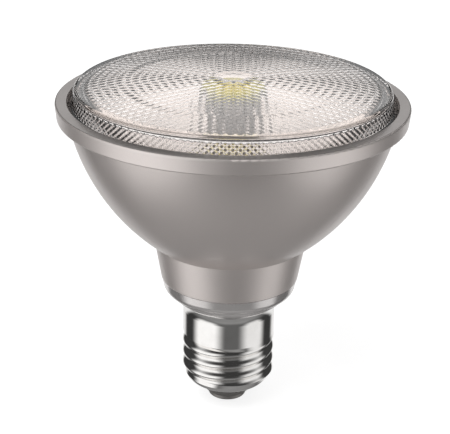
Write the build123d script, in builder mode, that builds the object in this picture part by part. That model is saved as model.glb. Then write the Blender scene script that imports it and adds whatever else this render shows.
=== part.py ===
"""Reflector spotlight lamp with a screw cap, a clear prismatic front lens and its LED and driver inside.

Millimetres. +Z runs up the lamp's axis from the centre contact, whose tip is the origin, to the lens.
"""

import os
from math import sqrt

from build123d import *

# Centre contact and cap insulator
CONTACT_RADIUS = 5.45
CONTACT_HEIGHT = 2.4
CONTACT_DOME = 0.3
CONTACT_EDGE_ROUND = 0.5
CONTACT_RECESS = 0.6
INSULATOR_HEIGHT = 3.4
INSULATOR_TOE_WIDTH = 0.4
INSULATOR_DOME = 0.2
INSULATOR_TOP_WALL = 0.5
LEAD_HOLE_RADIUS = 1.2

# Rolled screw shell, with the E27 thread's real pitch and depth
SHELL_SHEET = 0.35
SHELL_TOE_RADIUS = 9.5
SHELL_TOE_HEIGHT = 2.2
SHELL_TOE_TOP_RADIUS = 12.3
SHELL_TOE_ARC = 3.0
THREAD_MAJOR_RADIUS = 13.15
THREAD_DEPTH = 1.1
THREAD_PITCH = 3.629
THREAD_TURNS = 3
THREAD_RUNOUT = 1.2
SKIRT_RADIUS = 13.05
SKIRT_HEIGHT = 7.2
FLARE_RADIUS = 14.2
FLARE_HEIGHT = 3.2
FLARE_ARC = 6.0

# Clear driver cup, whose collar shows between the cap and the neck
STUB_LENGTH = 10.0
STUB_WALL = 1.4
COLLAR_HEIGHT = 7.1
COLLAR_INSET = 0.2
COLLAR_BAND = 2.3
COLLAR_BAND_DRAFT = 0.4
COLLAR_SCALLOPS = 2
COLLAR_SCALLOP_ARC = 2.6
COLLAR_FOOT = 0.5
CUP_WALL = 1.5
CUP_FLOOR = 5.4
CUP_ABOVE_NECK = 9.0
GUIDE_DEPTH = 0.6

# Metal housing: neck, bowl and rim
NECK_END_RADIUS = 19.3
NECK_TOP_RADIUS = 21.25
NECK_HEIGHT = 11.1
NECK_WALL = 2.0
NECK_END_ROUND = 0.4
BOWL_DEPTH = 36.5
BOWL_ARC = 59.4
BOWL_WALL = 2.4
RIM_RADIUS = 47.5
RIM_OVERHANG = 3.2
BAND_HEIGHT = 4.4
BAND_DRAFT = 0.45
BAND_ROUND = 0.5
LIP_WIDTH = 3.1
LENS_SEAT_DEPTH = 2.5
SPREADER_SEAT_DEPTH = 7.0
SPREADER_SEAT_WALL = 1.5

# Clear front lens and its seal
SEAL_HEIGHT = 0.6
SEAL_WIDTH = 2.0
LENS_FOOT_WIDTH = 1.15
LENS_FOOT_HEIGHT = 1.0
LENS_WALL_HEIGHT = 4.5
LENS_DRAFT = 0.5
LENS_DOME = 2.4
LENS_SHEET = 2.2
LENS_SHOULDER = 1.3
LENS_CENTRE_RADIUS = 4.9
LENS_BAND = 2.4
RELIEF_PITCH = 2.2
RELIEF_DEPTH = 0.1

# Light source on its heat spreader, and the bright tray around it
SPREADER_THICKNESS = 2.0
SPREADER_HUB_RADIUS = 18.0
SPREADER_HUB_DEPTH = 2.5
POST_BASE_RADIUS = 5.0
LED_BOARD_RADIUS = 9.0
LED_BOARD_THICKNESS = 1.2
LED_PACKAGE_MARGIN = 0.4
LED_PACKAGE_HEIGHT = 0.8
PHOSPHOR_MARGIN = 0.6
PHOSPHOR_HEIGHT = 0.4
LED_DOME_RADIUS = 4.9
LED_DOME_HEIGHT = 1.5
LED_LENS_GAP = 0.6
TRAY_SHEET = 0.8

# Driver board and what it carries
BOARD_THICKNESS = 1.6
BOARD_TAB_WIDTH = 17.0
BOARD_TAB_LENGTH = 16.0
BOARD_HEIGHT = 33.0
CAPACITOR_RADIUS = 5.0
CAPACITOR_LENGTH = 14.0
CAPACITOR_ROUND = 0.5
TRANSFORMER_WIDTH = 14.0
TRANSFORMER_HEIGHT = 13.0
TRANSFORMER_DEPTH = 6.0
TRANSFORMER_LEG = 3.0
WINDING_BULGE = 2.4
WINDING_ROUND = 1.5
FILM_CAPACITOR_SIZE = (12.0, 5.0, 9.0)
RECTIFIER_SIZE = (6.4, 2.4, 5.0)
CHIP_SIZE = (4.9, 1.5, 3.9)
BLOCK_ROUND = 0.3
FUSE_RADIUS = 1.8
FUSE_LENGTH = 9.0
FUSE_WAIST = 0.3
PART_SPACING = 2.0
LEAD_RADIUS = 0.5
LEAD_STANDOFF = 1.6
LEAD_BEND = 0.9
LED_LEAD_SPACING = 5.0

# Clearances
SLIDE_FIT = 0.15
LOOSE_FIT = 0.25
THIN_FIT = 0.05

# Heights up the axis, each from the one below it
insulator_base = CONTACT_HEIGHT - CONTACT_RECESS
shell_toe = CONTACT_HEIGHT + INSULATOR_HEIGHT
runout_base = shell_toe + SHELL_TOE_HEIGHT
thread_base = runout_base + THREAD_RUNOUT
thread_top = thread_base + THREAD_TURNS * THREAD_PITCH
skirt_base = thread_top + THREAD_RUNOUT
skirt_top = skirt_base + SKIRT_HEIGHT
flare_top = skirt_top + FLARE_HEIGHT
neck_end = flare_top + COLLAR_HEIGHT
bowl_base = neck_end + NECK_HEIGHT
band_base = bowl_base + BOWL_DEPTH
lip = band_base + BAND_HEIGHT
lens_seat = lip - LENS_SEAT_DEPTH
spreader_seat = lens_seat - SPREADER_SEAT_DEPTH
spreader_top = spreader_seat + SPREADER_THICKNESS
lens_foot = lens_seat + SEAL_HEIGHT
lens_foot_top = lens_foot + LENS_FOOT_HEIGHT
lens_shoulder = lens_foot_top + LENS_WALL_HEIGHT
lens_top = lens_shoulder + LENS_DOME

# Heights of the light source, each from the one above it, down from the lens
dome_top = lens_top - LENS_SHEET - LED_LENS_GAP
phosphor_top = dome_top - LED_DOME_HEIGHT
package_top = phosphor_top - PHOSPHOR_HEIGHT
led_board_top = package_top - LED_PACKAGE_HEIGHT
post_top = led_board_top - LED_BOARD_THICKNESS

# Radii that follow from the fits
thread_mean = THREAD_MAJOR_RADIUS - THREAD_DEPTH / 2
thread_bore = THREAD_MAJOR_RADIUS - THREAD_DEPTH - SHELL_SHEET
stub_radius = SKIRT_RADIUS - SHELL_SHEET - SLIDE_FIT
bowl_top_radius = RIM_RADIUS - RIM_OVERHANG
lip_bore = RIM_RADIUS - LIP_WIDTH
lens_foot_radius = lip_bore - LOOSE_FIT
lens_radius = lens_foot_radius - LENS_FOOT_WIDTH
package_radius = LED_BOARD_RADIUS - LED_PACKAGE_MARGIN
neck_bore_end = NECK_END_RADIUS - NECK_WALL
neck_bore_top = NECK_TOP_RADIUS - NECK_WALL

# The bowl's round side is one arc, and its inner face runs beside it
bowl_arc = RadiusArc((bowl_top_radius, band_base), (NECK_TOP_RADIUS, bowl_base), BOWL_ARC, mode=Mode.PRIVATE)
bowl_centre = bowl_arc.arc_center
inner_arc = BOWL_ARC - BOWL_WALL


def bowl_radius(height, arc):
    """Radius at a height of the bowl's face with that arc, the outer or the inner one."""
    return bowl_centre.X + sqrt(arc**2 - (height - bowl_centre.Y) ** 2)


def bowl_bore_height(radius):
    """Height at which the bowl's inner face has a radius."""
    return bowl_centre.Y - sqrt(inner_arc**2 - (radius - bowl_centre.X) ** 2)


neck_bore_corner = bowl_bore_height(neck_bore_top)
bowl_bore = bowl_radius(spreader_seat, inner_arc)
seat_bore = bowl_radius(spreader_seat, BOWL_ARC) - SPREADER_SEAT_WALL

# Housing: one turned profile with a lens seat and a ledge for the heat spreader
with BuildPart() as housing:
    with BuildSketch(Plane.XZ):
        with BuildLine():
            Polyline(
                (neck_bore_top, neck_bore_corner),
                (neck_bore_top, bowl_base),
                (neck_bore_end, neck_end),
                (NECK_END_RADIUS, neck_end),
                (NECK_TOP_RADIUS, bowl_base),
            )
            RadiusArc((NECK_TOP_RADIUS, bowl_base), (bowl_top_radius, band_base), -BOWL_ARC)
            Polyline(
                (bowl_top_radius, band_base),
                (RIM_RADIUS - BAND_DRAFT, band_base),
                (RIM_RADIUS, lip),
                (lip_bore, lip),
                (lip_bore, lens_seat),
                (seat_bore, lens_seat),
                (seat_bore, spreader_seat),
                (bowl_bore, spreader_seat),
            )
            RadiusArc((bowl_bore, spreader_seat), (neck_bore_top, neck_bore_corner), inner_arc)
        make_face()
    revolve(axis=Axis.Z)
    rings = housing.edges().filter_by(lambda edge: edge.is_closed)
    band_edges = rings.filter_by(lambda edge: edge.radius > RIM_RADIUS - BAND_DRAFT - THIN_FIT)
    fillet(band_edges, BAND_ROUND)
    rings = housing.edges().filter_by(lambda edge: edge.is_closed)
    fillet(rings.group_by(Axis.Z)[0].sort_by(SortBy.RADIUS)[-1], NECK_END_ROUND)

housing.part.label = "housing"


def cap_form(inset):
    """The cap's outside, or with the sheet as inset its inside.

    The thread is a round disc whose centre climbs a thin helix: every level section is that disc, off centre
    by half the thread's depth, so crest and root come out as one smooth rolled wave.
    """
    toe = (SHELL_TOE_RADIUS - inset, shell_toe)
    toe_top = (SHELL_TOE_TOP_RADIUS - inset, runout_base)
    with BuildPart() as form:
        with BuildSketch(Plane.XZ):
            with BuildLine():
                Line((0, shell_toe), toe)
                RadiusArc(toe, toe_top, -SHELL_TOE_ARC)
                Polyline(toe_top, (0, runout_base), (0, shell_toe))
            make_face()
        revolve(axis=Axis.Z)
        with BuildSketch(Plane.XY.offset(runout_base)):
            Circle(SHELL_TOE_TOP_RADIUS - inset)
        with BuildSketch(Plane.XY.offset(thread_base)):
            with Locations((THREAD_DEPTH / 2, 0)):
                Circle(thread_mean - inset)
        loft()
        with BuildLine():
            Helix(THREAD_PITCH, THREAD_TURNS * THREAD_PITCH, THREAD_DEPTH / 2, center=(0, 0, thread_base))
        with BuildSketch(Plane.XY.offset(thread_base)):
            with Locations((THREAD_DEPTH / 2, 0)):
                Circle(thread_mean - inset)
        sweep(normal=(0, 0, 1))
        with BuildSketch(Plane.XY.offset(thread_top)):
            with Locations((THREAD_DEPTH / 2, 0)):
                Circle(thread_mean - inset)
        with BuildSketch(Plane.XY.offset(skirt_base)):
            Circle(SKIRT_RADIUS - inset)
        loft()
        with BuildSketch(Plane.XZ):
            with BuildLine():
                Polyline((0, flare_top), (0, skirt_base), (SKIRT_RADIUS - inset, skirt_base))
                Line((SKIRT_RADIUS - inset, skirt_base), (SKIRT_RADIUS - inset, skirt_top))
                RadiusArc((SKIRT_RADIUS - inset, skirt_top), (FLARE_RADIUS - inset, flare_top), FLARE_ARC)
                Line((FLARE_RADIUS - inset, flare_top), (0, flare_top))
            make_face()
        revolve(axis=Axis.Z)
    return form.part


# Screw shell: thin sheet, so its inside is the outside's form less the sheet
with BuildPart() as screw_shell:
    add(cap_form(0))
    add(cap_form(SHELL_SHEET), mode=Mode.SUBTRACT)

screw_shell.part.label = "screw_shell"

# Cap insulator: fills the shell's toe and holds the contact in a shallow pocket
insulator_top = runout_base + INSULATOR_TOP_WALL
insulator_neck = SHELL_TOE_RADIUS - SHELL_SHEET - THIN_FIT
insulator_shoulder = SHELL_TOE_TOP_RADIUS - SHELL_SHEET - THIN_FIT
contact_pocket = CONTACT_RADIUS + THIN_FIT
insulator_toe = contact_pocket + INSULATOR_TOE_WIDTH
with BuildPart() as cap_insulator:
    with BuildSketch(Plane.XZ):
        with BuildLine():
            Polyline(
                (LEAD_HOLE_RADIUS, insulator_top),
                (LEAD_HOLE_RADIUS, CONTACT_HEIGHT),
                (contact_pocket, CONTACT_HEIGHT),
                (contact_pocket, insulator_base),
                (insulator_toe, insulator_base),
            )
            SagittaArc((insulator_toe, insulator_base), (insulator_neck, shell_toe), -INSULATOR_DOME)
            RadiusArc((insulator_neck, shell_toe), (insulator_shoulder, runout_base), -SHELL_TOE_ARC)
            Polyline(
                (insulator_shoulder, runout_base),
                (thread_bore - THIN_FIT, runout_base),
                (thread_bore - THIN_FIT, insulator_top),
                (LEAD_HOLE_RADIUS, insulator_top),
            )
        make_face()
    revolve(axis=Axis.Z)

cap_insulator.part.label = "cap_insulator"

# Centre contact: a button with a slightly domed underside and a rounded edge
edge_start = (CONTACT_RADIUS - CONTACT_EDGE_ROUND, CONTACT_DOME)
edge_end = (CONTACT_RADIUS, CONTACT_DOME + CONTACT_EDGE_ROUND)
with BuildPart() as centre_contact:
    with BuildSketch(Plane.XZ):
        with BuildLine():
            TangentArc((0, 0), edge_start, tangent=(1, 0))
            RadiusArc(edge_start, edge_end, -CONTACT_EDGE_ROUND)
            Polyline(
                edge_end,
                (CONTACT_RADIUS, CONTACT_HEIGHT),
                (0, CONTACT_HEIGHT),
                (0, 0),
            )
        make_face()
    revolve(axis=Axis.Z)

centre_contact.part.label = "centre_contact"

# Driver cup: a stub in the cap, the clear collar, and a tapered tube up the neck with guides for the board
stub_bore = stub_radius - STUB_WALL
stub_end = flare_top - STUB_LENGTH
collar_radius = NECK_END_RADIUS - COLLAR_INSET
band_foot = (collar_radius - COLLAR_BAND_DRAFT, neck_end - COLLAR_BAND)
collar_foot = (FLARE_RADIUS, flare_top + COLLAR_FOOT)
tube_end = neck_bore_end - SLIDE_FIT
tube_top = neck_bore_top - SLIDE_FIT
cup_floor = flare_top + CUP_FLOOR
cup_top = bowl_base + CUP_ABOVE_NECK
guide_half_width = tube_end - CUP_WALL + GUIDE_DEPTH
scallop_points = [
    (
        band_foot[0] + (collar_foot[0] - band_foot[0]) * step / COLLAR_SCALLOPS,
        band_foot[1] + (collar_foot[1] - band_foot[1]) * step / COLLAR_SCALLOPS,
    )
    for step in range(COLLAR_SCALLOPS + 1)
]
with BuildPart() as driver_cup:
    with BuildSketch(Plane.XZ):
        with BuildLine():
            Polyline(
                (tube_top, cup_top),
                (tube_top, bowl_base),
                (tube_end, neck_end),
                (collar_radius, neck_end),
                band_foot,
            )
            for upper, lower in zip(scallop_points, scallop_points[1:]):
                RadiusArc(upper, lower, COLLAR_SCALLOP_ARC)
            Polyline(
                collar_foot,
                (FLARE_RADIUS, flare_top),
                (stub_radius, flare_top),
                (stub_radius, stub_end),
                (stub_bore, stub_end),
                (stub_bore, flare_top),
                (tube_end - CUP_WALL, cup_floor),
                (tube_end - CUP_WALL, neck_end),
                (tube_top - CUP_WALL, bowl_base),
                (tube_top - CUP_WALL, cup_top),
                (tube_top, cup_top),
            )
        make_face()
    revolve(axis=Axis.Z)
    with BuildSketch(Plane.XY.offset(neck_end)):
        Rectangle(2 * guide_half_width, BOARD_THICKNESS + 2 * THIN_FIT)
    extrude(amount=cup_top - neck_end, mode=Mode.SUBTRACT)

driver_cup.part.label = "driver_cup"

# Heat spreader: a plate on the housing's ledge, with a hub below it and a post that carries the LED board
lead_hole = LEAD_RADIUS + LOOSE_FIT
lead_y = BOARD_THICKNESS / 2 + LEAD_STANDOFF
led_lead_spots = [(-LED_LEAD_SPACING / 2, lead_y), (LED_LEAD_SPACING / 2, lead_y)]
hub_base = spreader_seat - SPREADER_HUB_DEPTH
with BuildPart() as heat_spreader:
    with BuildSketch(Plane.XZ):
        with BuildLine():
            Polyline(
                (0, hub_base),
                (SPREADER_HUB_RADIUS, hub_base),
                (SPREADER_HUB_RADIUS, spreader_seat),
                (seat_bore - SLIDE_FIT, spreader_seat),
                (seat_bore - SLIDE_FIT, spreader_top),
                (POST_BASE_RADIUS, spreader_top),
                (LED_BOARD_RADIUS, post_top),
                (0, post_top),
                close=True,
            )
        make_face()
    revolve(axis=Axis.Z)
    with BuildSketch(Plane.XY.offset(hub_base)):
        with Locations(*led_lead_spots):
            Circle(lead_hole)
    extrude(amount=post_top - hub_base, mode=Mode.SUBTRACT)

heat_spreader.part.label = "heat_spreader"

# LED board: a round metal-core board with wire holes
with BuildPart() as led_board:
    with BuildSketch(Plane.XY.offset(post_top)):
        Circle(LED_BOARD_RADIUS)
        with Locations(*led_lead_spots):
            Circle(lead_hole, mode=Mode.SUBTRACT)
    extrude(amount=LED_BOARD_THICKNESS)

led_board.part.label = "led_board"

# LED package: a round ceramic base with the yellow disc and a clear cap on it
with BuildPart() as led_package:
    with BuildSketch(Plane.XY.offset(led_board_top)):
        Circle(package_radius)
    extrude(amount=LED_PACKAGE_HEIGHT)

led_package.part.label = "led_package"

with BuildPart() as led_phosphor:
    with BuildSketch(Plane.XY.offset(package_top)):
        Circle(package_radius - PHOSPHOR_MARGIN)
    extrude(amount=PHOSPHOR_HEIGHT)

led_phosphor.part.label = "led_phosphor"

with BuildPart() as led_dome:
    with BuildSketch(Plane.XZ):
        with BuildLine():
            TangentArc((0, dome_top), (LED_DOME_RADIUS, phosphor_top), tangent=(1, 0))
            Polyline((0, dome_top), (0, phosphor_top), (LED_DOME_RADIUS, phosphor_top))
        make_face()
    revolve(axis=Axis.Z)

led_dome.part.label = "led_dome"

# Reflector: a bright shallow dish round the post, wide enough to pass over its top, out to the lens foot
tray_bore = LED_BOARD_RADIUS + LOOSE_FIT
tray_edge = seat_bore - SLIDE_FIT
with BuildPart() as reflector:
    with BuildSketch(Plane.XZ):
        with BuildLine():
            TangentArc((tray_bore, spreader_top), (tray_edge, lens_seat - TRAY_SHEET), tangent=(1, 0))
            Line((tray_edge, lens_seat - TRAY_SHEET), (tray_edge, lens_seat))
            TangentArc(
                (tray_bore, spreader_top + TRAY_SHEET),
                (tray_edge, lens_seat),
                tangent=(1, 0),
            )
            Line((tray_bore, spreader_top + TRAY_SHEET), (tray_bore, spreader_top))
        make_face()
    revolve(axis=Axis.Z)

reflector.part.label = "reflector"

# Lens seal: a flat ring on the lens seat
with BuildPart() as lens_seal:
    with BuildSketch(Plane.XY.offset(lens_seat)):
        Circle(lens_foot_radius)
        Circle(lens_foot_radius - SEAL_WIDTH, mode=Mode.SUBTRACT)
    extrude(amount=SEAL_HEIGHT)

lens_seal.part.label = "lens_seal"

# Front lens: foot, side wall and a sheet with a shallow dome, with hollow rings on its upper face
shoulder_radius = lens_radius - LENS_DRAFT
wall_bore = lens_radius - LENS_SHEET
wall_bore_top = wall_bore - LENS_DRAFT
dome_arc = (shoulder_radius**2 + LENS_DOME**2) / (2 * LENS_DOME)
relief_edge = shoulder_radius - LENS_BAND
ring_count = round((relief_edge - LENS_CENTRE_RADIUS) / RELIEF_PITCH)
ring_width = (relief_edge - LENS_CENTRE_RADIUS) / ring_count
ring_radii = [LENS_CENTRE_RADIUS + ring * ring_width for ring in range(ring_count + 1)]


def lens_face(radius):
    """Height of the lens's dome at a radius."""
    return lens_top - dome_arc + sqrt(dome_arc**2 - radius**2)


with BuildPart() as front_lens:
    with BuildSketch(Plane.XZ):
        with BuildLine():
            Line((0, lens_top - LENS_SHEET), (0, lens_top))
            TangentArc((0, lens_top), (ring_radii[0], lens_face(ring_radii[0])), tangent=(1, 0))
            for inner, outer in zip(ring_radii, ring_radii[1:]):
                middle = (outer + inner) / 2
                ThreePointArc(
                    (inner, lens_face(inner)),
                    (middle, lens_face(middle) - RELIEF_DEPTH),
                    (outer, lens_face(outer)),
                )
            RadiusArc((relief_edge, lens_face(relief_edge)), (shoulder_radius, lens_shoulder), dome_arc)
            Polyline(
                (shoulder_radius, lens_shoulder),
                (lens_radius, lens_foot_top),
                (lens_foot_radius, lens_foot_top),
                (lens_foot_radius, lens_foot),
                (wall_bore, lens_foot),
                (wall_bore_top, lens_face(wall_bore_top) - LENS_SHEET),
            )
            TangentArc(
                (0, lens_top - LENS_SHEET),
                (wall_bore_top, lens_face(wall_bore_top) - LENS_SHEET),
                tangent=(1, 0),
            )
        make_face()
    revolve(axis=Axis.Z)
    rings = front_lens.edges().filter_by(lambda edge: edge.is_closed)
    wall_edges = rings.filter_by(lambda edge: edge.radius > shoulder_radius - THIN_FIT)
    fillet(wall_edges.sort_by(Axis.Z)[-1], LENS_SHOULDER)

front_lens.part.label = "front_lens"

# Driver board: stands in the cup's guides, with a narrow tab down into the cap
board_face = BOARD_THICKNESS / 2
board_half_width = guide_half_width - THIN_FIT
board_top = neck_end + BOARD_HEIGHT
tab_end = neck_end - BOARD_TAB_LENGTH
with BuildPart() as driver_board:
    with BuildSketch(Plane.XZ):
        with BuildLine():
            Polyline(
                (-board_half_width, neck_end),
                (-BOARD_TAB_WIDTH / 2, neck_end),
                (-BOARD_TAB_WIDTH / 2, tab_end),
                (BOARD_TAB_WIDTH / 2, tab_end),
                (BOARD_TAB_WIDTH / 2, neck_end),
                (board_half_width, neck_end),
                (board_half_width, board_top),
                (-board_half_width, board_top),
                close=True,
            )
        make_face()
    extrude(amount=board_face, both=True)

driver_board.part.label = "driver_board"

# Parts on the board's back face, from the neck up: capacitor, then transformer
back_face = Plane(origin=(0, board_face, 0), x_dir=(-1, 0, 0), z_dir=(0, 1, 0))
front_face = Plane(origin=(0, -board_face, 0), x_dir=(1, 0, 0), z_dir=(0, -1, 0))
capacitor_y = board_face + CAPACITOR_RADIUS + THIN_FIT
capacitor_axis = Plane.XY.offset(neck_end).shift_origin((0, capacitor_y, neck_end))
with BuildPart() as bulk_capacitor:
    with BuildSketch(capacitor_axis):
        Circle(CAPACITOR_RADIUS)
    extrude(amount=CAPACITOR_LENGTH)
    fillet(bulk_capacitor.edges().filter_by(GeomType.CIRCLE), CAPACITOR_ROUND)

bulk_capacitor.part.label = "bulk_capacitor"

transformer_middle = neck_end + CAPACITOR_LENGTH + PART_SPACING + TRANSFORMER_HEIGHT / 2
window_width = (TRANSFORMER_WIDTH - 3 * TRANSFORMER_LEG) / 2
window_height = TRANSFORMER_HEIGHT - 2 * TRANSFORMER_LEG
window_middle = (TRANSFORMER_LEG + window_width) / 2
with BuildPart() as transformer_core:
    with BuildSketch(back_face.offset(WINDING_BULGE)):
        with Locations((0, transformer_middle)):
            Rectangle(TRANSFORMER_WIDTH, TRANSFORMER_HEIGHT)
        with Locations((-window_middle, transformer_middle), (window_middle, transformer_middle)):
            Rectangle(window_width, window_height, mode=Mode.SUBTRACT)
    extrude(amount=TRANSFORMER_DEPTH)

transformer_core.part.label = "transformer_core"

# Winding: wound round the core's middle leg, it fills both windows and lies against the board
winding_height = window_height - 2 * THIN_FIT
winding_width = TRANSFORMER_LEG + 2 * (window_width - THIN_FIT)
winding_depth = TRANSFORMER_DEPTH + 2 * WINDING_BULGE
with BuildPart() as transformer_winding:
    with BuildSketch(Plane.XY.offset(transformer_middle - winding_height / 2)):
        with Locations((0, board_face + winding_depth / 2)):
            RectangleRounded(winding_width, winding_depth, WINDING_ROUND)
            Rectangle(
                TRANSFORMER_LEG + 2 * THIN_FIT,
                TRANSFORMER_DEPTH + 2 * THIN_FIT,
                mode=Mode.SUBTRACT,
            )
    extrude(amount=winding_height)

transformer_winding.part.label = "transformer_winding"


def block_on(face, size, middle_height):
    """A moulded block on a face of the board, its long edges eased."""
    width, depth, height = size
    with BuildPart() as block:
        with BuildSketch(face):
            with Locations((0, middle_height)):
                RectangleRounded(width, height, BLOCK_ROUND)
        extrude(amount=depth)
    return block


# Parts on the board's front face
rectifier_middle = neck_end + RECTIFIER_SIZE[2]
chip_middle = rectifier_middle + RECTIFIER_SIZE[2] / 2 + PART_SPACING + CHIP_SIZE[2] / 2
film_middle = chip_middle + CHIP_SIZE[2] / 2 + PART_SPACING + FILM_CAPACITOR_SIZE[2] / 2
bridge_rectifier = block_on(front_face, RECTIFIER_SIZE, rectifier_middle)
bridge_rectifier.part.label = "bridge_rectifier"
controller_chip = block_on(front_face, CHIP_SIZE, chip_middle)
controller_chip.part.label = "controller_chip"
film_capacitor = block_on(front_face, FILM_CAPACITOR_SIZE, film_middle)
film_capacitor.part.label = "film_capacitor"

# Fuse resistor: a waisted body beside the board's tab
fuse_base = tab_end + PART_SPACING
fuse_y = -board_face - FUSE_RADIUS - THIN_FIT
fuse_axis = Plane(origin=(0, fuse_y, fuse_base), x_dir=(1, 0, 0), z_dir=(0, -1, 0))
with BuildPart() as fuse_resistor:
    with BuildSketch(fuse_axis):
        with BuildLine():
            Polyline((FUSE_RADIUS, FUSE_LENGTH), (0, FUSE_LENGTH), (0, 0), (FUSE_RADIUS, 0))
            SagittaArc((FUSE_RADIUS, 0), (FUSE_RADIUS, FUSE_LENGTH), FUSE_WAIST)
        make_face()
    revolve(axis=Axis(fuse_axis.origin, (0, 0, 1)))

fuse_resistor.part.label = "fuse_resistor"


def lead_along(*points):
    """A round wire along straight runs joined by arcs."""
    with BuildPart() as lead:
        with BuildLine() as route:
            FilletPolyline(*points, radius=LEAD_BEND)
        with BuildSketch(Plane(origin=route.line @ 0, z_dir=route.line % 0)):
            Circle(LEAD_RADIUS)
        sweep()
    return lead


# Cap wires: from the board's tab to the contact and to the shell
lead_start = tab_end + PART_SPACING
tab_quarter = BOARD_TAB_WIDTH / 4
stub_clear = stub_end - PART_SPACING
live_lead = lead_along(
    (tab_quarter, board_face, lead_start),
    (tab_quarter, lead_y, lead_start),
    (tab_quarter, lead_y, stub_clear),
    (0, 0, insulator_top + PART_SPACING),
    (0, 0, CONTACT_HEIGHT),
)
live_lead.part.label = "live_lead"

shell_touch = thread_bore - THIN_FIT
neutral_lead = lead_along(
    (-tab_quarter, board_face, lead_start),
    (-tab_quarter, lead_y, lead_start),
    (-tab_quarter, lead_y, thread_top),
    (-sqrt((shell_touch**2) - (lead_y + LEAD_RADIUS) ** 2), lead_y, thread_top),
)
neutral_lead.part.label = "neutral_lead"

# LED wires: from the board's top, up through the hub, the post and the LED board to the package
led_lead_start = board_top - PART_SPACING


def led_lead_at(x):
    """One LED wire in the plane at x."""
    return lead_along(
        (x, board_face, led_lead_start),
        (x, lead_y, led_lead_start),
        (x, lead_y, led_board_top),
    )


led_lead_negative = led_lead_at(led_lead_spots[0][0])
led_lead_negative.part.label = "led_lead_negative"
led_lead_positive = led_lead_at(led_lead_spots[1][0])
led_lead_positive.part.label = "led_lead_positive"

pieces = [
    housing,
    front_lens,
    lens_seal,
    reflector,
    heat_spreader,
    led_board,
    led_package,
    led_phosphor,
    led_dome,
    driver_cup,
    driver_board,
    bulk_capacitor,
    transformer_core,
    transformer_winding,
    bridge_rectifier,
    controller_chip,
    film_capacitor,
    fuse_resistor,
    screw_shell,
    cap_insulator,
    centre_contact,
    live_lead,
    neutral_lead,
    led_lead_negative,
    led_lead_positive,
]
os.makedirs("parts", exist_ok=True)
for piece in pieces:
    export_step(piece.part, f"parts/{piece.part.label}.step")
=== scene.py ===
"""Looks of the reflector spotlight lamp.

A satin silver housing, a moulded prismatic lens, a clear collar and a bright screw cap, in a white studio.
"""

import math

import bpy
import numpy as np
from mathutils import Matrix, Vector


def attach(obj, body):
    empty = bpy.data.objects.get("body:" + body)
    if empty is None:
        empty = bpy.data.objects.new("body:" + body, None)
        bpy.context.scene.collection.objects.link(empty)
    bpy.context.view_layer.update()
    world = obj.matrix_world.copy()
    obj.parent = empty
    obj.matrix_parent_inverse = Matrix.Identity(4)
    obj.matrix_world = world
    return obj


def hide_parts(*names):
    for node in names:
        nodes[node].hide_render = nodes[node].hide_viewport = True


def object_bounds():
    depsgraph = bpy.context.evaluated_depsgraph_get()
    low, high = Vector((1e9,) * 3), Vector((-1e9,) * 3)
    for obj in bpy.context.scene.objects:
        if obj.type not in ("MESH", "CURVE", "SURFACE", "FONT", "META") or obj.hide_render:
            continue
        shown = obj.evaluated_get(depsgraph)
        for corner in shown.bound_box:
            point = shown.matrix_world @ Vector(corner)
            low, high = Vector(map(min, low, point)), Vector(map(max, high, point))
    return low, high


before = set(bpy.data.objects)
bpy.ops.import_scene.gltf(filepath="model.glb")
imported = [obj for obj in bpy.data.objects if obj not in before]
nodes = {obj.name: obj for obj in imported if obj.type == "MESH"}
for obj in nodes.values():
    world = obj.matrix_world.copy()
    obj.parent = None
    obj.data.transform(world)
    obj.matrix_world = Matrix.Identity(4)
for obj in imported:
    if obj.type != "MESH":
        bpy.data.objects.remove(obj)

cad_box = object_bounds()
MM = 0.001

# Heights in millimetres of the lens, which is the top of the frame's box, and of the rim's lip below it
LENS_ABOVE_LIP = 6.0
LENS_TOP = cad_box[1][2] / MM
LIP = LENS_TOP - LENS_ABOVE_LIP

# Span of the noise that colours and roughness use, its detail, and the strength of the bump made from it
NOISE_LOW = 0.25
NOISE_HIGH = 0.75
NOISE_DETAIL = 3.0
BUMP_STRENGTH = 0.4


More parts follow.
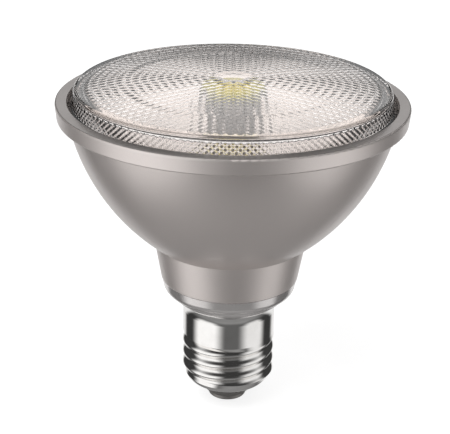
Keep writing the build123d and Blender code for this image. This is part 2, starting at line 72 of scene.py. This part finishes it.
class Tree:
    """The node tree of a material or a world, with short ways to add and link its nodes."""

    def __init__(self, block, output):
        block.use_nodes = True
        self.block = block
        self.tree = block.node_tree
        self.tree.nodes.clear()
        self.output = self.add(output)

    def add(self, kind, **inputs):
        node = self.tree.nodes.new(kind)
        for name, value in inputs.items():
            node.inputs[name.replace("_", " ")].default_value = value
        return node

    def link(self, source, target):
        self.tree.links.new(source, target)

    def surface(self, shader):
        self.link(shader, self.output.inputs["Surface"])

    def place(self):
        return self.add("ShaderNodeTexCoord").outputs["Object"]

    def noise(self, scale):
        node = self.add("ShaderNodeTexNoise", Scale=scale, Detail=NOISE_DETAIL)
        self.link(self.place(), node.inputs["Vector"])
        return node.outputs["Fac"]

    def colours(self, fac, dark, light):
        node = self.add("ShaderNodeValToRGB")
        first, last = node.color_ramp.elements
        first.position, first.color = NOISE_LOW, (*dark, 1)
        last.position, last.color = NOISE_HIGH, (*light, 1)
        self.link(fac, node.inputs["Fac"])
        return node.outputs["Color"]

    def spread(self, fac, low, high):
        span = {"From_Min": NOISE_LOW, "From_Max": NOISE_HIGH}
        node = self.add("ShaderNodeMapRange", **span, To_Min=low, To_Max=high)
        self.link(fac, node.inputs["Value"])
        return node.outputs["Result"]

    def bump(self, height, distance):
        node = self.add("ShaderNodeBump", Strength=BUMP_STRENGTH, Distance=distance)
        self.link(height, node.inputs["Height"])
        return node.outputs["Normal"]

    def above(self, height, low, high):
        """One colour below a height on the object and another above it."""
        split = self.add("ShaderNodeSeparateXYZ")
        self.link(self.place(), split.inputs[0])
        node = self.add("ShaderNodeMix")
        node.data_type = "RGBA"
        self.link(self.math("GREATER_THAN", split.outputs["Z"], height), node.inputs["Factor"])
        self.link(low, node.inputs[6])
        self.link(high, node.inputs[7])
        return node.outputs[2]

    def math(self, operation, a, b=None):
        node = self.add("ShaderNodeMath")
        node.operation = operation
        for socket, value in zip(node.inputs, (a, b)):
            if isinstance(value, bpy.types.NodeSocket):
                self.link(value, socket)
            elif value is not None:
                socket.default_value = value
        return node.outputs[0]

    def plus(self, a, b):
        return self.math("ADD", a, b)

    def minus(self, a, b):
        return self.math("SUBTRACT", a, b)

    def times(self, a, b):
        return self.math("MULTIPLY", a, b)

    def larger(self, a, b):
        return self.math("MAXIMUM", a, b)

    def rise(self, angle, low, high):
        """0 below one angle and 1 above another, in degrees, with a soft step between them."""
        node = self.add("ShaderNodeMapRange", From_Min=math.radians(low), From_Max=math.radians(high))
        node.interpolation_type = "SMOOTHSTEP"
        self.link(angle, node.inputs["Value"])
        return node.outputs["Result"]

    def between(self, angle, start, end):
        """1 between two soft steps and 0 outside them."""
        return self.minus(self.rise(angle, *start), self.rise(angle, *end))

    def mix(self, share, first, second):
        node = self.add("ShaderNodeMixShader")
        for socket, source in zip(node.inputs, (share, first, second)):
            self.link(source, socket)
        return node.outputs["Shader"]


def material(name, colours, rough, grain, depth, cloud=None, above=None, **shader):
    """A surface with a speckled colour, a roughness that drifts and a fine bump, all from noise.

    Above a height, where one is given, the colours are a second pair, which the housing uses for painted
    shade on its lip.
    """
    t = Tree(bpy.data.materials.new(name), "ShaderNodeOutputMaterial")
    p = t.add("ShaderNodeBsdfPrincipled", **shader)
    speck = t.noise(grain)
    base = t.colours(speck, *colours)
    if above:
        base = t.above(above[0], base, t.colours(speck, *above[1]))
    t.link(base, p.inputs["Base Color"])
    t.link(t.spread(t.noise(cloud or grain / 8), *rough), p.inputs["Roughness"])
    t.link(t.bump(speck, depth), p.inputs["Normal"])
    t.surface(p.outputs["BSDF"])
    return t.block


def shade(node, *details, **shader):
    """Gives a CAD node its own material."""
    mesh = nodes[node].data
    mesh.materials.clear()
    mesh.materials.append(material(node, *details, **shader))


# Textures that several pieces share, as grain and depth, and their pairs of roughness
FINE = (2500, 0.00001)
CLEAR = (180, 0.00001)
SATIN = (0.35, 0.45)
GLOSSY = (0.25, 0.35)
MATT = (0.4, 0.55)
DULL = (0.5, 0.6)
BLACK_EPOXY = ((0.012, 0.012, 0.012), (0.02, 0.02, 0.02))

# Outside: satin lacquer with a thin clear coat, bright nickel, clear collar, grey cap end
# Painted shade on the rim's lip and in the groove beside the lens: above the lip the housing's colour is this
# dark grey pair
LIP_SHADE_COLOURS = ((0.3, 0.275, 0.265), (0.34, 0.315, 0.3))
# How far below the lip, in millimetres, the painted shade starts
LIP_SHADE_MARGIN = 0.1
shade("housing", ((0.88, 0.81, 0.78), (0.96, 0.885, 0.85)), (0.4, 0.48), 9000, 0.000004, cloud=60,
      above=((LIP - LIP_SHADE_MARGIN) * MM, LIP_SHADE_COLOURS), Metallic=0.85, Coat_Weight=0.3, Coat_Roughness=0.12)
shade("screw_shell", ((0.88, 0.86, 0.84), (0.96, 0.945, 0.925)), (0.06, 0.14), 300, 0.000003, Metallic=1.0)
shade("driver_cup", ((0.93, 0.89, 0.875), (0.98, 0.945, 0.93)), (0.1, 0.2), *CLEAR,
      Transmission_Weight=0.2, Metallic=0.6, IOR=1.5)
shade("cap_insulator", ((0.2, 0.19, 0.18), (0.25, 0.24, 0.225)), DULL, *FINE)
shade("centre_contact", ((0.3, 0.285, 0.275), (0.36, 0.345, 0.33)), (0.42, 0.55), 2500, 0.000006,
      Metallic=0.6)
shade("lens_seal", ((0.05, 0.05, 0.05), (0.07, 0.07, 0.07)), (0.6, 0.7), *FINE)

# Under the lens: mirror tray and light source
shade("reflector", ((0.93, 0.895, 0.865), (0.96, 0.925, 0.895)), (0.03, 0.07), 120, 0.00001, Metallic=1.0)
shade("heat_spreader", ((0.9, 0.87, 0.85), (0.95, 0.92, 0.9)), (0.3, 0.42), 1500, 0.00001, Metallic=0.6)
shade("led_board", ((0.8, 0.79, 0.77), (0.87, 0.86, 0.84)), SATIN, *FINE)
shade("led_package", ((0.82, 0.81, 0.78), (0.88, 0.87, 0.84)), DULL, *FINE)
# Painted glow: the phosphor emits a faint yellow light that brightens it where little light reaches it
# through the lens
shade("led_phosphor", ((0.93, 0.84, 0.02), (0.97, 0.9, 0.04)), MATT, *FINE,
      Emission_Color=(1.0, 0.9, 0.03, 1), Emission_Strength=0.2)
shade("led_dome", ((0.97, 0.97, 0.96), (0.99, 0.99, 0.98)), (0.0, 0.03), *CLEAR,
      Transmission_Weight=1.0, IOR=1.41)

# Driver and its wires
shade("driver_board", ((0.01, 0.08, 0.03), (0.02, 0.12, 0.05)), SATIN, *FINE)
shade("bulk_capacitor", ((0.008, 0.008, 0.01), (0.015, 0.015, 0.018)), GLOSSY, *FINE)
shade("transformer_core", ((0.03, 0.03, 0.032), (0.05, 0.05, 0.052)), (0.5, 0.65), *FINE)
shade("transformer_winding", ((0.45, 0.2, 0.07), (0.6, 0.28, 0.1)), (0.3, 0.4), 1200, 0.00004, Metallic=0.8)
shade("bridge_rectifier", BLACK_EPOXY, MATT, *FINE)
shade("controller_chip", BLACK_EPOXY, MATT, *FINE)
shade("film_capacitor", ((0.5, 0.3, 0.02), (0.6, 0.36, 0.03)), GLOSSY, *FINE)
shade("fuse_resistor", ((0.15, 0.28, 0.4), (0.2, 0.34, 0.46)), (0.4, 0.5), *FINE)
shade("live_lead", ((0.06, 0.025, 0.01), (0.08, 0.035, 0.015)), MATT, *FINE)
shade("neutral_lead", ((0.01, 0.04, 0.25), (0.015, 0.06, 0.32)), MATT, *FINE)
shade("led_lead_negative", ((0.01, 0.01, 0.01), (0.018, 0.018, 0.018)), MATT, *FINE)
shade("led_lead_positive", ((0.4, 0.01, 0.01), (0.5, 0.02, 0.015)), MATT, *FINE)

# Front lens: the CAD lens's form in millimetres, its rings cut into staggered lenslets and its wall dimpled
LENS_DOME = 2.4
LENS_WALL = 4.5
LENS_FOOT_HEIGHT = 1.0
LENS_SHOULDER = LENS_TOP - LENS_DOME
LENS_FOOT_TOP = LENS_SHOULDER - LENS_WALL
LENS_FOOT = LENS_FOOT_TOP - LENS_FOOT_HEIGHT
FOOT_RADIUS = 44.15
WALL_RADIUS = 43.0
SHOULDER_RADIUS = 42.5
SHOULDER_ROUND = 1.3
SHEET = 2.2
WALL_BORE = 40.8
WALL_BORE_TOP = 40.3
RELIEF_EDGE = 40.1
RELIEF_CENTRE = 4.9
RINGS = 16
AROUND = 2.3
TOP_DEPTH = 0.17
WALL_LENSLETS = 150
WALL_ROWS = 4
WALL_DEPTH = 0.2
DOME_ARC = (SHOULDER_RADIUS**2 + LENS_DOME**2) / (2 * LENS_DOME)

# Fineness of the lens's mesh: points round a lenslet and rows across it, then rings and points of plain faces
STEPS = 6
ROWS = 6
UNDERSIDE_RINGS = 20
UNDERSIDE_POINTS = 192
SHOULDER_RINGS = 8
SHOULDER_POINTS = 512
CENTRE_RINGS = 6
CENTRE_POINTS = 96


def dome(radius):
    return LENS_TOP - DOME_ARC + math.sqrt(DOME_ARC**2 - radius**2)


def dimples(count, share, shift):
    """Depth of a ring of dimples, round the ring, at a share of the way across it."""
    u = np.arange(count * STEPS) / STEPS + shift
    return 0.5 * (1 - np.cos(2 * math.pi * u) * math.sin(math.pi * share))


class Lathe:
    """Rings of points round the axis, stitched to their neighbours even where their counts differ."""

    def __init__(self, pole):
        self.points = [np.array([[0.0, 0.0, pole]])]
        self.faces = []
        self.last = (0, 1)
        self.total = 1

    def ring(self, radii, heights):
        count = len(radii)
        angles = np.arange(count) * 2 * math.pi / count
        self.points.append(np.column_stack((radii * np.cos(angles), radii * np.sin(angles), heights)))
        self.stitch(self.last, (self.total, count))
        self.last = (self.total, count)
        self.total += count

    def even(self, radius, height, count):
        self.ring(np.full(count, float(radius)), np.full(count, float(height)))

    def stitch(self, a, b):
        (start_a, n), (start_b, m) = a, b
        if n == m:
            for i in range(n):
                j = (i + 1) % n
                self.faces.append((start_a + i, start_a + j, start_b + j, start_b + i))
            return
        i = 0 if n > 1 else 1
        j = 0 if m > 1 else 1
        while i < n or j < m:
            if j == m or (i < n and (i + 1) / n <= (j + 1) / m):
                self.faces.append((start_a + i % n, start_a + (i + 1) % n, start_b + j % m))
                i += 1
            else:
                self.faces.append((start_a + i % n, start_b + (j + 1) % m, start_b + j % m))
                j += 1

    def pole(self, height):
        self.even(0.0, height, 1)

    def mesh(self, name):
        mesh = bpy.data.meshes.new(name)
        mesh.from_pydata((np.vstack(self.points) * MM).tolist(), [], self.faces)
        mesh.validate()
        mesh.shade_smooth()
        return mesh


def build_lens():
    lathe = Lathe(LENS_TOP - SHEET)
    # Underside and foot
    for k in range(1, UNDERSIDE_RINGS + 1):
        radius = WALL_BORE_TOP * k / UNDERSIDE_RINGS
        lathe.even(radius, dome(radius) - SHEET, UNDERSIDE_POINTS)
    for radius, height in ((WALL_BORE, LENS_FOOT), (FOOT_RADIUS, LENS_FOOT), (FOOT_RADIUS, LENS_FOOT_TOP)):
        lathe.even(radius, height, UNDERSIDE_POINTS)
    # Side wall with rows of dimples up to the shoulder
    wall_points = WALL_LENSLETS * STEPS
    wall_top = LENS_SHOULDER - SHOULDER_ROUND
    slope = (WALL_RADIUS - SHOULDER_RADIUS) / (LENS_SHOULDER - LENS_FOOT_TOP)
    wall_top_radius = WALL_RADIUS - slope * (wall_top - LENS_FOOT_TOP)
    lathe.even(WALL_RADIUS, LENS_FOOT_TOP, wall_points)
    for row in range(WALL_ROWS):
        for k in range(1, ROWS + 1):
            share = k / ROWS
            height = LENS_FOOT_TOP + (wall_top - LENS_FOOT_TOP) * (row + share) / WALL_ROWS
            radius = WALL_RADIUS - slope * (height - LENS_FOOT_TOP)
            relief = WALL_DEPTH * dimples(WALL_LENSLETS, share, row / 2)
            lathe.ring(radius - relief, np.full(wall_points, height))
    # Rounded shoulder
    round_end = SHOULDER_RADIUS - SHOULDER_ROUND
    for k in range(1, SHOULDER_RINGS + 1):
        angle = math.pi / 2 * k / SHOULDER_RINGS
        radius = round_end + (wall_top_radius - round_end) * math.cos(angle)
        height = wall_top + (dome(round_end) - wall_top) * math.sin(angle)
        lathe.even(radius, height, SHOULDER_POINTS)
    # Rings of lenslets on the top, each ring half a step on from the last, and the smooth centre
    lathe.even(RELIEF_EDGE, dome(RELIEF_EDGE), SHOULDER_POINTS)
    width = (RELIEF_EDGE - RELIEF_CENTRE) / RINGS
    for ring in range(RINGS):
        edge = RELIEF_EDGE - width * ring
        count = round(2 * math.pi * (edge - width / 2) / AROUND)
        for k in range(1, ROWS + 1):
            radius = edge - width * k / ROWS
            relief = TOP_DEPTH * dimples(count, k / ROWS, ring / 2)
            lathe.ring(np.full(count * STEPS, radius), dome(radius) - relief)
    for k in range(1, CENTRE_RINGS):
        radius = RELIEF_CENTRE * (1 - k / CENTRE_RINGS)
        lathe.even(radius, dome(radius), CENTRE_POINTS)
    lathe.pole(LENS_TOP)
    return lathe.mesh("moulded_lens")


lens = bpy.data.objects.new("moulded_lens", build_lens())
bpy.context.scene.collection.objects.link(lens)
lens.data.materials.append(
    material("clear_lens", ((0.985, 0.938, 0.914), (0.995, 0.948, 0.924)), (0.0, 0.01), 180, 0.000004,
             Transmission_Weight=1.0, IOR=1.5)
)
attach(lens, "root")
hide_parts("front_lens")

# White floor that keeps a faint shadow, just under the lamp and wider than any view, in metres
FLOOR_REACH = 3
FLOOR_DROP = 0.0005
corners = [(-FLOOR_REACH, -FLOOR_REACH, 0), (FLOOR_REACH, -FLOOR_REACH, 0),
           (FLOOR_REACH, FLOOR_REACH, 0), (-FLOOR_REACH, FLOOR_REACH, 0)]
floor_mesh = bpy.data.meshes.new("floor")
floor_mesh.from_pydata(corners, [], [(0, 1, 2, 3)])
floor = bpy.data.objects.new("floor", floor_mesh)
floor.location.z = -FLOOR_DROP
floor.visible_glossy = False
floor.visible_transmission = False
bpy.context.scene.collection.objects.link(floor)
t = Tree(bpy.data.materials.new("white_floor"), "ShaderNodeOutputMaterial")
matt = t.add("ShaderNodeBsdfDiffuse")
t.link(t.colours(t.noise(40), (0.33, 0.33, 0.33), (0.37, 0.37, 0.37)), matt.inputs["Color"])
glow = t.add("ShaderNodeEmission", Color=(0.82, 0.82, 0.82, 1))
t.link(t.add("ShaderNodeLightPath").outputs["Is Camera Ray"], glow.inputs["Strength"])
both = t.add("ShaderNodeAddShader")
t.link(matt.outputs["BSDF"], both.inputs[0])
t.link(glow.outputs["Emission"], both.inputs[1])
t.surface(both.outputs["Shader"])
floor_mesh.materials.append(t.block)

# Studio: white to the camera, plain light for matt surfaces, and a tent lit by direction for metal and glass.
# Azimuth is 0 towards the camera and grows to the right. Each pair of angles is a soft step, in degrees.
# Two side panels with a dark strip between them in front, which widens below an elevation
LEFT_START = (-105, -78)
LEFT_END = (-38, -6)
LEFT_LIGHT = 1.25
RIGHT_START = (22, 54)
RIGHT_END = (84, 106)
STRIP_WIDENS = -29
PANEL_FOOT = (-58, -38)
PANEL_TOP = (26, 52)
# A low panel behind the lamp
BACK_START = (128, 150)
BACK_TOP = (-8, 0)
# Grey ground below, and a little light in the lower part of the dark strip
GROUND_TOP = (-64, -42)
GROUND_LIGHT = 0.25
STRIP_FOOT = (-70, -50)
STRIP_TOP = (4, 12)
STRIP_LIGHT = 0.1
# Sky behind the lamp, from a skyline that climbs to both sides, with haze low down and less light high up
SKY_MIDDLE = 168
SKYLINE_CLIMB = 1.9
SKYLINE = (3, 9)
SKY_LIGHT = 1.4
SKY_DIMS = (34, 58)
SKY_LOSS = 0.9
HAZE_TOP = (11, 21)
HAZE_LIGHT = 0.5
# A wing of light on each side of the sky, and a white zenith
WING_START = (132, 140)
WING_END = (152, 158)
WING_FOOT = (8, 16)
WING_TOP = (30, 38)
WING_LIGHT = 0.5
ZENITH = (62, 74)
# Light that comes from everywhere, to metal and glass and to matt surfaces
TENT_LIGHT = 0.05
PLAIN_LIGHT = 0.7

world = bpy.data.worlds.new("studio")
bpy.context.scene.world = world
t = Tree(world, "ShaderNodeOutputWorld")
axes = t.add("ShaderNodeSeparateXYZ")
t.link(t.add("ShaderNodeTexCoord").outputs["Generated"], axes.inputs[0])
x, y, z = axes.outputs
azimuth = t.math("ARCTAN2", x, t.times(y, -1.0))
aside = t.math("ABSOLUTE", azimuth)
elevation = t.math("ARCSINE", z)
widening = t.larger(t.minus(math.radians(STRIP_WIDENS), elevation), 0.0)
strip_left = t.rise(t.plus(azimuth, widening), *LEFT_END)
strip_right = t.rise(t.minus(azimuth, widening), *RIGHT_START)
strip = t.minus(strip_left, strip_right)
left = t.times(t.minus(t.rise(azimuth, *LEFT_START), strip_left), LEFT_LIGHT)
right = t.minus(strip_right, t.rise(azimuth, *RIGHT_END))
behind = t.larger(t.minus(t.rise(aside, *BACK_START), t.rise(elevation, *BACK_TOP)), 0.0)
walls = t.times(t.plus(t.plus(left, right), behind), t.between(elevation, PANEL_FOOT, PANEL_TOP))
ground = t.times(t.minus(1.0, t.rise(elevation, *GROUND_TOP)), GROUND_LIGHT)
off_middle = t.larger(t.minus(math.radians(SKY_MIDDLE), aside), 0.0)
over_skyline = t.rise(t.minus(elevation, t.times(off_middle, SKYLINE_CLIMB)), *SKYLINE)
dimming = t.minus(SKY_LIGHT, t.times(t.rise(elevation, *SKY_DIMS), SKY_LOSS))
haze = t.plus(t.times(t.rise(elevation, *HAZE_TOP), 1 - HAZE_LIGHT), HAZE_LIGHT)
sky = t.times(t.times(t.minus(1.0, strip), dimming), t.times(over_skyline, haze))
wings = t.times(t.between(aside, WING_START, WING_END), t.between(elevation, WING_FOOT, WING_TOP))
above = t.larger(t.larger(sky, t.times(wings, WING_LIGHT)), t.rise(elevation, *ZENITH))
panels = t.larger(t.larger(walls, ground), above)
front = t.times(t.times(t.between(elevation, STRIP_FOOT, STRIP_TOP), STRIP_LIGHT), strip)
tent = t.add("ShaderNodeBackground")
t.link(t.plus(t.plus(panels, front), TENT_LIGHT), tent.inputs["Strength"])
plain = t.add("ShaderNodeBackground", Strength=PLAIN_LIGHT)
white = t.add("ShaderNodeBackground", Strength=1.0)
path = t.add("ShaderNodeLightPath").outputs
seen = t.larger(path["Is Glossy Ray"], path["Is Transmission Ray"])
lit = t.mix(seen, plain.outputs["Background"], tent.outputs["Background"])
t.surface(t.mix(path["Is Camera Ray"], lit, white.outputs["Background"]))

# One soft lamp from above and to the left, in metres and watts
LAMP_PLACE = (-0.3, -0.3, 0.9)
LAMP_AIM = (0, 0, 0.05)
LAMP_SIZE = 0.8
LAMP_POWER = 6.0
lamp_data = bpy.data.lights.new("top_soft", "AREA")
lamp_data.shape = "DISK"
lamp_data.size = LAMP_SIZE
lamp_data.energy = LAMP_POWER
lamp = bpy.data.objects.new("top_soft", lamp_data)
lamp.location = LAMP_PLACE
lamp.rotation_euler = (Vector(LAMP_AIM) - lamp.location).to_track_quat("-Z", "Y").to_euler()
lamp.visible_glossy = False
lamp.visible_transmission = False
bpy.context.scene.collection.objects.link(lamp)

# Camera at the photo's angle: place in millimetres, turns in degrees, focal length in picture widths
CAMERA_PLACE = (-1.56, -318.7, LIP + 101.2)
CAMERA_DIP = 23.09
CAMERA_ROLL = 1.09
FOCAL_WIDTHS = 1243.2 / 450
SENSOR_WIDTH = 36.0
NEAREST = 0.01
camera_data = bpy.data.cameras.new("camera")
camera_data.sensor_width = SENSOR_WIDTH
camera_data.lens = SENSOR_WIDTH * FOCAL_WIDTHS
camera_data.clip_start = NEAREST
camera = bpy.data.objects.new("camera", camera_data)
camera.matrix_world = (
    Matrix.Translation([value * MM for value in CAMERA_PLACE])
    @ Matrix.Rotation(math.radians(90 - CAMERA_DIP), 4, "X")
    @ Matrix.Rotation(math.radians(CAMERA_ROLL), 4, "Z")
)
bpy.context.scene.collection.objects.link(camera)
bpy.context.scene.camera = camera
bpy.context.scene.view_settings.view_transform = "Standard"
